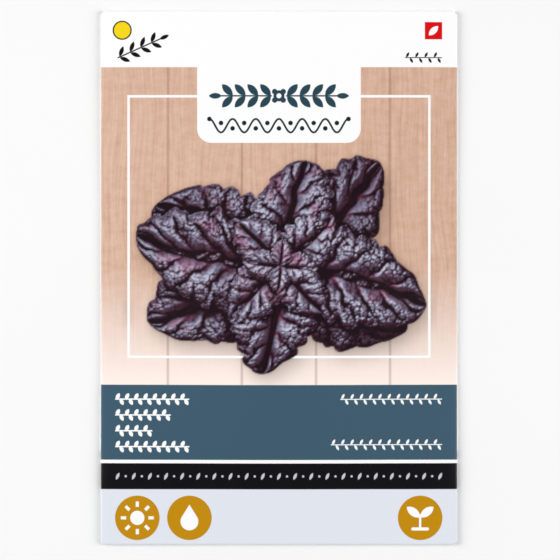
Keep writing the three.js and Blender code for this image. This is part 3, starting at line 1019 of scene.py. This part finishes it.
def back_print():
    """The front's bands run round to the back, which has lines to write on and a calendar of twelve cells."""
    printed = Print("printed_back", WHITE)
    lay_bands(printed, SLATE_BAND_FOOT + BACK_SLATE_BAND)
    lines = printed.place.moved((0.0, WRITING_LINES_MIDDLE))
    line = (lines.y - WRITING_LINES_HALF_HEIGHT).math("PINGPONG", WRITING_LINE_PITCH / 2) - BACK_LINE_HALF
    line_field = lines.box(WRITING_LINES_HALF_WIDTH, WRITING_LINES_HALF_HEIGHT + WRITING_LINE_PITCH / 2)
    printed.lay(highest(line, line_field), SLATE, strength=0.6)
    calendar = printed.place.moved((0.0, CALENDAR_LEVEL))
    outline = calendar.box(6 * CALENDAR_CELL + BACK_LINE_HALF, CALENDAR_HALF_HEIGHT + BACK_LINE_HALF)
    upright = calendar.x.math("PINGPONG", CALENDAR_CELL / 2) - BACK_LINE_HALF
    lengthwise = BACK_LINE_HALF - CALENDAR_HALF_HEIGHT
    printed.lay(highest(outline, lowest(upright, -(abs(calendar.y) + lengthwise))), SLATE, strength=0.8)
    for middle, ink in CALENDAR_BARS:
        bar = calendar.moved((middle, 0.0))
        printed.lay(bar.rounded_box(CALENDAR_BAR_HALF, CALENDAR_BAR_END, CALENDAR_BAR_END), ink)
    return printed.finish()


def inside_paper():
    return Print("bare_paper", BARE_PAPER).finish(roughness=0.75, gloss_change=0.06, fibre=0.012)


def clouded(name, colour, shade, scale, roughness, change):
    """A material whose colour darkens by a shade, and whose roughness changes, with a cloudy noise."""
    material, tree, shader = new_material(name)
    cloud = noise_field(tree, object_millimetres(tree), scale, detail=3.0)
    connect(tree, mixed(tree, cloud, linear(colour) * shade, linear(colour)), shader.inputs["Base Color"])
    connect(tree, cloud * change + roughness, shader.inputs["Roughness"])
    return material, tree, shader, cloud


def foil_film():
    """Heat-sealed foil: metallic, with small flat creases that catch the light each their own way."""
    look = {"shade": 0.80, "scale": 0.8, "roughness": 0.24, "change": 0.16}
    material, tree, shader, cloud = clouded("sachet_foil", FOIL, **look)
    creases = add_node(tree, "TexVoronoi", {"Vector": object_millimetres(tree), "Scale": 0.45})["Distance"]
    shader.inputs["Metallic"].default_value = 1.0
    add_bump(tree, shader, cloud * 0.5 + Field(tree, creases), depth=0.10)
    return material


def seed_coat():
    """Nearly black seed coats, matt and finely pitted, some of them browner than others."""
    look = {"shade": 1.0, "scale": 6.0, "roughness": 0.45, "change": 0.2}
    material, tree, shader, pits = clouded("basil_seed_coat", SEED_COAT, **look)
    brown = mixed(tree, attribute(tree, "seed_tint")["Fac"], linear(SEED_COAT), linear(SEED_COAT_BROWN))
    connect(tree, mixed(tree, pits, brown, linear(SEED_COAT)), shader.inputs["Base Color"])
    add_bump(tree, shader, pits, depth=0.05)
    return material


def dried_glue():
    look = {"shade": 0.85, "scale": 1.2, "roughness": 0.15, "change": 0.2}
    material, tree, shader, cloud = clouded("dried_glue", GLUE_FILM, **look)
    add_bump(tree, shader, cloud, depth=0.05)
    return material


def placed(name, data):
    """A new object in the scene, made of a mesh, a lamp's data or a camera's."""
    item = bpy.data.objects.new(name, data)
    bpy.context.scene.collection.objects.link(item)
    return item


def add_piece(mesh, materials, slot, *nodes):
    for material in materials:
        mesh.materials.append(material)
    piece = placed(mesh.name, mesh)
    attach(piece, "root")
    if nodes:
        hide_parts(*nodes)


def add_attribute(mesh, name, kind, domain, key, values):
    data = mesh.attributes.new(name, kind, domain).data
    data.foreach_set(key, np.asarray(values, np.float32).ravel())


def smooth_mesh(name, points, faces, sharp_angle=35.0):
    """A mesh in metres from points in millimetres, smooth but for its sharp edges."""
    mesh = bpy.data.meshes.new(name)
    mesh.from_pydata((points * MM).tolist(), [], faces)
    mesh.shade_smooth()
    mesh.set_sharp_from_angle(angle=math.radians(sharp_angle))
    mesh.validate()
    return mesh


def in_front(u, v):
    return (np.abs(u) < WING_SPLIT) & (np.abs(v) < FLAP_SPLIT)


def bake_layouts():
    """Each part's scales across and along, its corner on the blank, and that corner's place on the image."""
    foot_tip, head_tip = flap_tip(FOOT_FLAP), flap_tip(HEAD_FLAP)
    back, inside = BAKE_BACK_SCALE, BAKE_INSIDE_SCALE
    strip = 2 * WING_SPLIT + BAKE_GAP
    right_wing = strip + back * (WING_END - WING_SPLIT) + BAKE_GAP
    foot_flap = back * 2 * WING_HALF_LENGTH + BAKE_GAP
    head_flap = foot_flap + back * (foot_tip - FLAP_SPLIT) + BAKE_GAP
    inside_foot = head_flap + back * (head_tip - FLAP_SPLIT) + BAKE_GAP
    inside_corner = (-WING_END * BAKE_RIM_SPREAD, -foot_tip * BAKE_RIM_SPREAD)
    return {
        "front": (1, 1, -WING_SPLIT, -FLAP_SPLIT, 0, 0),
        "left_wing": (back, back, -WING_END, -WING_HALF_LENGTH, strip, 0),
        "right_wing": (back, back, WING_SPLIT, -WING_HALF_LENGTH, right_wing, 0),
        "foot_flap": (back, back, -FRONT_HALF_WIDTH, -foot_tip, strip, foot_flap),
        "head_flap": (back, back, -FRONT_HALF_WIDTH, FLAP_SPLIT, strip, head_flap),
        "inside": (-inside, inside, *inside_corner, BAKE_SIDE - 2 * BAKE_GAP, inside_foot),
    }


def bake_places(corners, is_part, spread=1.0):
    """Where the corners of faces lie on the baked image, with the faces of each part of the paper."""
    places = np.zeros(corners.shape)
    for name, layout in bake_layouts().items():
        scale, low, place = np.reshape(layout, (3, 2))
        chosen = np.broadcast_to(is_part.get(name, False), len(corners))
        places[chosen] = (place + scale * (corners * spread - low))[chosen]
    return ((places + BAKE_GAP) / BAKE_SIDE).reshape(-1, 2)


def sheet_face(stations, offset):
    """One face of the folded sheet: its points, quads, rim, places on the blank and grid indices."""
    u, v, quads = blank_grid(*stations)
    loop, at = rim(quads, u, v)
    used, compact = np.unique(quads, return_inverse=True)
    u, v = u.ravel()[used], v.ravel()[used]
    points = fold(u, v) + offset * outward(fold, u, v)
    edge = (np.searchsorted(used, loop), at)
    return points, compact.reshape(quads.shape), edge, np.stack([u, v], axis=-1), used


def lay_print(mesh, corners):
    """Where each corner lies in the print, as its reader sees it, and each face's material."""
    is_front = in_front(*corners.mean(axis=1).T)
    back = fold(corners[..., 0], corners[..., 1])[..., :2] * [-1, 1]
    places = np.zeros((len(mesh.loops), 3))
    places[: corners.size // 2, :2] = np.where(is_front[:, None, None], corners, back).reshape(-1, 2)
    add_attribute(mesh, "print_place", "FLOAT_VECTOR", "CORNER", "vector", places)
    zone = np.full(len(mesh.polygons), 2, np.int32)
    zone[: len(is_front)] = ~is_front
    mesh.polygons.foreach_set("material_index", zone)


def lay_bake_map(mesh, flat, outer_quads, inner_quads, wall):
    """The UV map that the finish is baked over, with the front large and the rest small beside it."""
    u, v = flat[outer_quads].mean(axis=1).T
    is_front = in_front(u, v)
    on_wing = ~is_front & (np.abs(v) < WING_HALF_LENGTH)
    on_flap = ~is_front & ~on_wing
    is_part = {
        "front": is_front,
        "left_wing": on_wing & (u < 0),
        "right_wing": on_wing & (u > 0),
        "foot_flap": on_flap & (v < 0),
        "head_flap": on_flap & (v > 0),
    }
    spread = np.where(wall <= outer_quads.max(), BAKE_RIM_SPREAD, 1.0)[..., None]
    places = np.concatenate([
        bake_places(flat[outer_quads], is_part),
        bake_places(flat[inner_quads], {"inside": True}),
        bake_places(flat[wall], {"inside": True}, spread),
    ])
    mesh.uv_layers.new(name="OFBake").data.foreach_set("uv", places.astype(np.float32).ravel())


def lay_leaves(mesh, stations, used):
    """Keeps the picture's leaf colours and ground light on the printed face's vertices."""
    across, along = stations
    layers = np.zeros((len(along), len(across), 5))
    layers[..., 4] = 1.0
    window = np.array(PICTURE_WINDOW).reshape(2, 2) + [-1e-3, 1e-3]
    columns, rows = (slice(*np.searchsorted(*pair)) for pair in zip(stations, window))
    layers[rows, columns] = leaf_picture(PICTURE_WINDOW)
    values = np.zeros((len(mesh.vertices), 5))
    values[: len(used)] = layers.reshape(-1, 5)[used]
    add_attribute(mesh, "leaf_colour", "FLOAT_COLOR", "POINT", "color", values[:, :4])
    add_attribute(mesh, "ground_light", "FLOAT", "POINT", "value", values[:, 4])


def packet_mesh():
    """The folded sheet as one closed body: a fine printed face, a plainer inner face and their rim."""
    stations = blank_stations(OUTER_SPACING, OUTER_FOLD_CELLS, PICTURE_WINDOW)
    plain_stations = blank_stations(INNER_SPACING, INNER_FOLD_CELLS)
    outer, outer_quads, outer_rim, outer_flat, used = sheet_face(stations, PAPER / 2)
    inner, inner_quads, (loop, at), inner_flat, _ = sheet_face(plain_stations, -PAPER / 2)
    inner_quads = inner_quads[:, ::-1] + len(outer)
    wall = np.array(zipped(*outer_rim, loop + len(outer), at))
    faces = [*outer_quads.tolist(), *inner_quads.tolist(), *wall.tolist()]
    mesh = smooth_mesh("printed_packet", np.concatenate([outer, inner]), faces)
    flat = np.concatenate([outer_flat, inner_flat])
    lay_print(mesh, flat[outer_quads])
    lay_bake_map(mesh, flat, outer_quads, inner_quads, wall)
    lay_leaves(mesh, stations, used)
    return mesh


def slab(xs, ys, level, thickness):
    """A thin closed sheet over a grid of stations: its points and quads."""
    x, y = np.meshgrid(xs, ys)
    middle = level(x, y)
    index = np.arange(x.size).reshape(x.shape)
    top = grid_quads(index).reshape(-1, 4)
    edge = np.concatenate([index[0, :], index[1:, -1], index[-1, -2::-1], index[-2:0:-1, 0]])
    following = np.roll(edge, -1)
    wall = np.stack([edge + x.size, following + x.size, following, edge], axis=-1)
    points = [np.stack([x, y, middle + side * thickness / 2], axis=-1).reshape(-1, 3) for side in (1, -1)]
    return np.concatenate(points), np.concatenate([top, top[:, ::-1] + x.size, wall])


def joined(parts):
    """Several sets of points and faces as one."""
    points, faces, count = [], [], 0
    for part_points, part_faces in parts:
        points.append(part_points)
        faces.append(part_faces + count)
        count += len(part_points)
    return np.concatenate(points), np.concatenate(faces)


def make_packet():
    materials = [front_print(), back_print(), inside_paper()]
    add_piece(packet_mesh(), materials, "printed_paper", "paper_packet")


def make_glue():
    """Glue between the lapped wings, and between each flap and the wings above it."""
    strips = [(SEAM_GLUE_WIDTH / 2, [-WING_HALF_LENGTH, WING_HALF_LENGTH], 1.0, wing_level)]
    for end in (-1, 1):
        marks = sorted([end * (flap_edge(end) + GLUE_MARGIN), end * (WING_HALF_LENGTH - GLUE_MARGIN)])
        half_width = FRONT_HALF_WIDTH - FLAP_TAPER - GLUE_MARGIN
        strips.append((half_width, marks, 2.0, lambda y: BACK_LEVEL + 0 * y))
    parts = []
    for half_width, marks, spacing, below in strips:
        stations = [filled([-half_width, half_width], spacing), filled(marks, spacing)]
        parts.append(slab(*stations, lambda x, y: below(y) + LAYER_STEP / 2, GLUE))
    points, faces = joined(parts)
    mesh = smooth_mesh("glue_strips", points, faces.tolist())
    add_piece(mesh, [dried_glue()], "printed_paper")


def sachet_stations(low, high):
    """Fine over the crimped seals at both ends, and coarser between."""
    fine = CRIMP_PITCH / 6
    return np.concatenate([
        filled([low, low + SEAL_WIDTH], fine)[:-1],
        filled([low + SEAL_WIDTH, high - SEAL_WIDTH], 1.0),
        filled([high - SEAL_WIDTH, high], fine)[1:],
    ])


def crimp(x, y):
    """The ribs that the sealing jaws press into the film, side by side along each edge."""
    low_x, low_y, high_x, high_y = *SACHET_LOW[:2], *SACHET_HIGH[:2]
    from_edge = np.minimum.reduce([x - low_x, high_x - x, y - low_y, high_y - y])
    pressed = smooth(from_edge, 0.3, 0.8) * (1 - smooth(from_edge, SEAL_WIDTH - 0.6, SEAL_WIDTH))
    return CRIMP_DEPTH * pressed * np.cos(2 * math.pi * from_edge / CRIMP_PITCH)


def film_wrinkles(x, y):
    wave = np.sin(x / 2.3 + 1.3 * np.sin(y / 4.7)) * np.sin(y / 3.1 + 0.8)
    return FILM_WRINKLE * (wave + 0.7 * np.sin((x + y) / 1.7) * np.sin(x / 5.3))


def front_film_level(x, y):
    """The middle of the front film: flat along its seals, and raised between them over the seed."""
    half_width = SACHET_HIGH[0] - SEAL_WIDTH
    half_length = (SACHET_HIGH[1] - SACHET_LOW[1]) / 2 - SEAL_WIDTH
    inside = plateau(x, half_width) * plateau(y - (SACHET_LOW[1] + SACHET_HIGH[1]) / 2, half_length)
    seed = hump(x, y, half_width, SEED_MIDDLE_Y - SACHET_LOW[1] - SEAL_WIDTH)
    level = SACHET_LOW[2] + 1.5 * FILM + SACHET_PILLOW * inside + SACHET_SEED_RISE * seed
    return level + crimp(x, y) + film_wrinkles(x, y) * inside


def back_film_level(x, y):
    return SACHET_LOW[2] + 0.5 * FILM + crimp(x, y)


def make_sachet():
    """Two foil films sealed to each other all round, the front one raised by the seed."""
    stations = [sachet_stations(SACHET_LOW[k], SACHET_HIGH[k]) for k in (0, 1)]
    foil = foil_film()
    for name, level, node in (
        ("sealed_front_film", front_film_level, "sachet_front_film"),
        ("sealed_back_film", back_film_level, "sachet_back_film"),
    ):
        points, faces = slab(*stations, level, FILM)
        add_piece(smooth_mesh(name, points, faces.tolist()), [foil], "sachet_film", node)


def seed_points(rng):
    """One seed: an egg shape, blunt at one end, with its own size, unevenness and turn."""
    polar = np.linspace(0, math.pi, SEED_RINGS + 1)[1:-1]
    around = math.tau * np.arange(SEED_SIDES) / SEED_SIDES
    width = np.sin(polar) ** 0.85 * (1 - SEED_BLUNTNESS * np.cos(polar))
    x, y, z = np.cos(polar), np.outer(width, np.cos(around)), np.outer(width, np.sin(around))
    shell = np.stack([np.repeat(x, SEED_SIDES), y.ravel(), z.ravel()], axis=1)
    points = np.concatenate([[[1.0, 0, 0]], shell, [[-1.0, 0, 0]]])
    sizes = SEED_HALF_SIZES * rng.uniform(SEED_SMALLEST, 1.0, 3)
    points *= sizes * (1 + rng.uniform(-SEED_UNEVEN, SEED_UNEVEN, (len(points), 1)))
    spin, tilt, roll = rng.uniform((0, -SEED_TILT, -SEED_ROLL), (math.tau, SEED_TILT, SEED_ROLL))
    return points @ np.array(Euler((roll, -tilt, spin)).to_matrix()).T


def seed_faces():
    """A seed's quads between rings of points, and its triangles round each end."""
    rings = 1 + np.arange((SEED_RINGS - 1) * SEED_SIDES).reshape(-1, SEED_SIDES)
    following = np.roll(rings, -1, axis=1)
    quads = np.stack([rings[:-1], rings[1:], following[1:], following[:-1]], axis=-1).reshape(-1, 4)
    ends = [np.full(SEED_SIDES, end) for end in (0, rings.size + 1)]
    blunt = np.stack([ends[0], rings[0], following[0]], axis=-1)
    tip = np.stack([rings[-1], ends[1], following[-1]], axis=-1)
    return [*quads.tolist(), *blunt.tolist(), *tip.tolist()]


def make_seeds():
    """The loose seeds, lying in two layers in a round heap in the sachet."""
    rng = np.random.default_rng(5)
    floor = SACHET_HIGH[2] + SEED_GAP
    points, tints = [], []
    for layer, share in enumerate(HEAP_LAYER_SHARES):
        row_step = SEED_SPACING * math.sqrt(3) / 2
        rows = math.ceil(HEAP_HALF_LENGTH * share / row_step)
        for row in range(-rows, rows + 1):
            y = row * row_step + layer * row_step / 2
            reach = 1 - (y / (HEAP_HALF_LENGTH * share)) ** 2
            half = HEAP_HALF_WIDTH * share * math.sqrt(max(reach, 0))
            offset = (row % 2 + layer) * SEED_SPACING / 2
            for x in np.arange(-half + offset % SEED_SPACING, half, SEED_SPACING):
                shape = seed_points(rng)
                stray = [*rng.uniform(-SEED_STRAY, SEED_STRAY, 2), -shape[:, 2].min()]
                shape = shape + [x, SEED_MIDDLE_Y + y, floor + layer * SEED_LAYER_STEP] + stray
                room = front_film_level(shape[:, 0], shape[:, 1]) - FILM / 2 - shape[:, 2]
                if room.min() >= SEED_GAP:
                    points.append(shape)
                    tints += [rng.uniform(0, 1)] * len(shape)
    each = len(points[0])
    faces = [[k + each * seed for k in face] for seed in range(len(points)) for face in seed_faces()]
    mesh = smooth_mesh("loose_basil_seeds", np.concatenate(points), faces, sharp_angle=80.0)
    add_attribute(mesh, "seed_tint", "FLOAT", "POINT", "value", tints)
    add_piece(mesh, [seed_coat()], "seed", "basil_seeds")


def make_floor():
    half = FLOOR_HALF_SIZE / MM
    corners = [(half * x, half * y, -FLOOR_GAP) for x, y in ((-1, -1), (1, -1), (1, 1), (-1, 1))]
    floor = placed("floor", smooth_mesh("floor", np.array(corners), [(0, 1, 2, 3)]))
    material, tree, shader = new_material("pale_floor")
    cloud = noise_field(tree, object_millimetres(tree), 0.02)
    floor_colours = [linear([shade] * 3) for shade in FLOOR_SHADES]
    connect(tree, mixed(tree, cloud, *floor_colours), shader.inputs["Base Color"])
    shader.inputs["Roughness"].default_value = 0.9
    shader.inputs["Specular IOR Level"].default_value = 0.1
    floor.data.materials.append(material)


def make_light():
    """Bright walls under a dim ceiling, with a wide lamp low on each side, turned to the packet."""
    world = bpy.data.worlds.new("soft_studio")
    bpy.context.scene.world = world
    world.use_nodes = True
    tree = world.node_tree
    direction = add_node(tree, "SeparateXYZ", {0: add_node(tree, "TexCoord")["Generated"]})
    up = Field(tree, direction[2]).math("MAXIMUM", 0.0)
    sky = mixed(tree, up, [WALL_LIGHT] * 3, [CEILING_LIGHT] * 3)
    connect(tree, sky, tree.nodes["Background"].inputs["Color"])
    for name, place, power in LAMPS:
        lamp = bpy.data.lights.new(name, "AREA")
        lamp.shape = "SQUARE"
        lamp.size = LAMP_SIZE
        lamp.energy = power
        light = placed(name, lamp)
        light.location = place
        light.rotation_euler = (-Vector(place)).to_track_quat("-Z", "Y").to_euler()


def make_camera():
    """Straight above the packet, with a long lens, so that its top fills what it does in the photograph."""
    data = bpy.data.cameras.new("camera")
    data.lens = CAMERA_LENS
    data.sensor_width = CAMERA_SENSOR
    field = PHOTO_PIXELS / PHOTO_PIXELS_PER_MM
    distance = field * data.lens / data.sensor_width
    from_middle = [(PHOTO_PIXELS / 2 - pixel) / PHOTO_PIXELS_PER_MM for pixel in PHOTO_PACKET_MIDDLE]
    camera = placed("camera", data)
    camera.location = Vector((from_middle[0], -from_middle[1], PACKET_HIGH[2] / 2 + distance)) * MM
    bpy.context.scene.camera = camera
    bpy.context.scene.view_settings.view_transform = "Standard"


make_camera()
make_floor()
make_light()
make_packet()
make_glue()
make_sachet()
make_seeds()
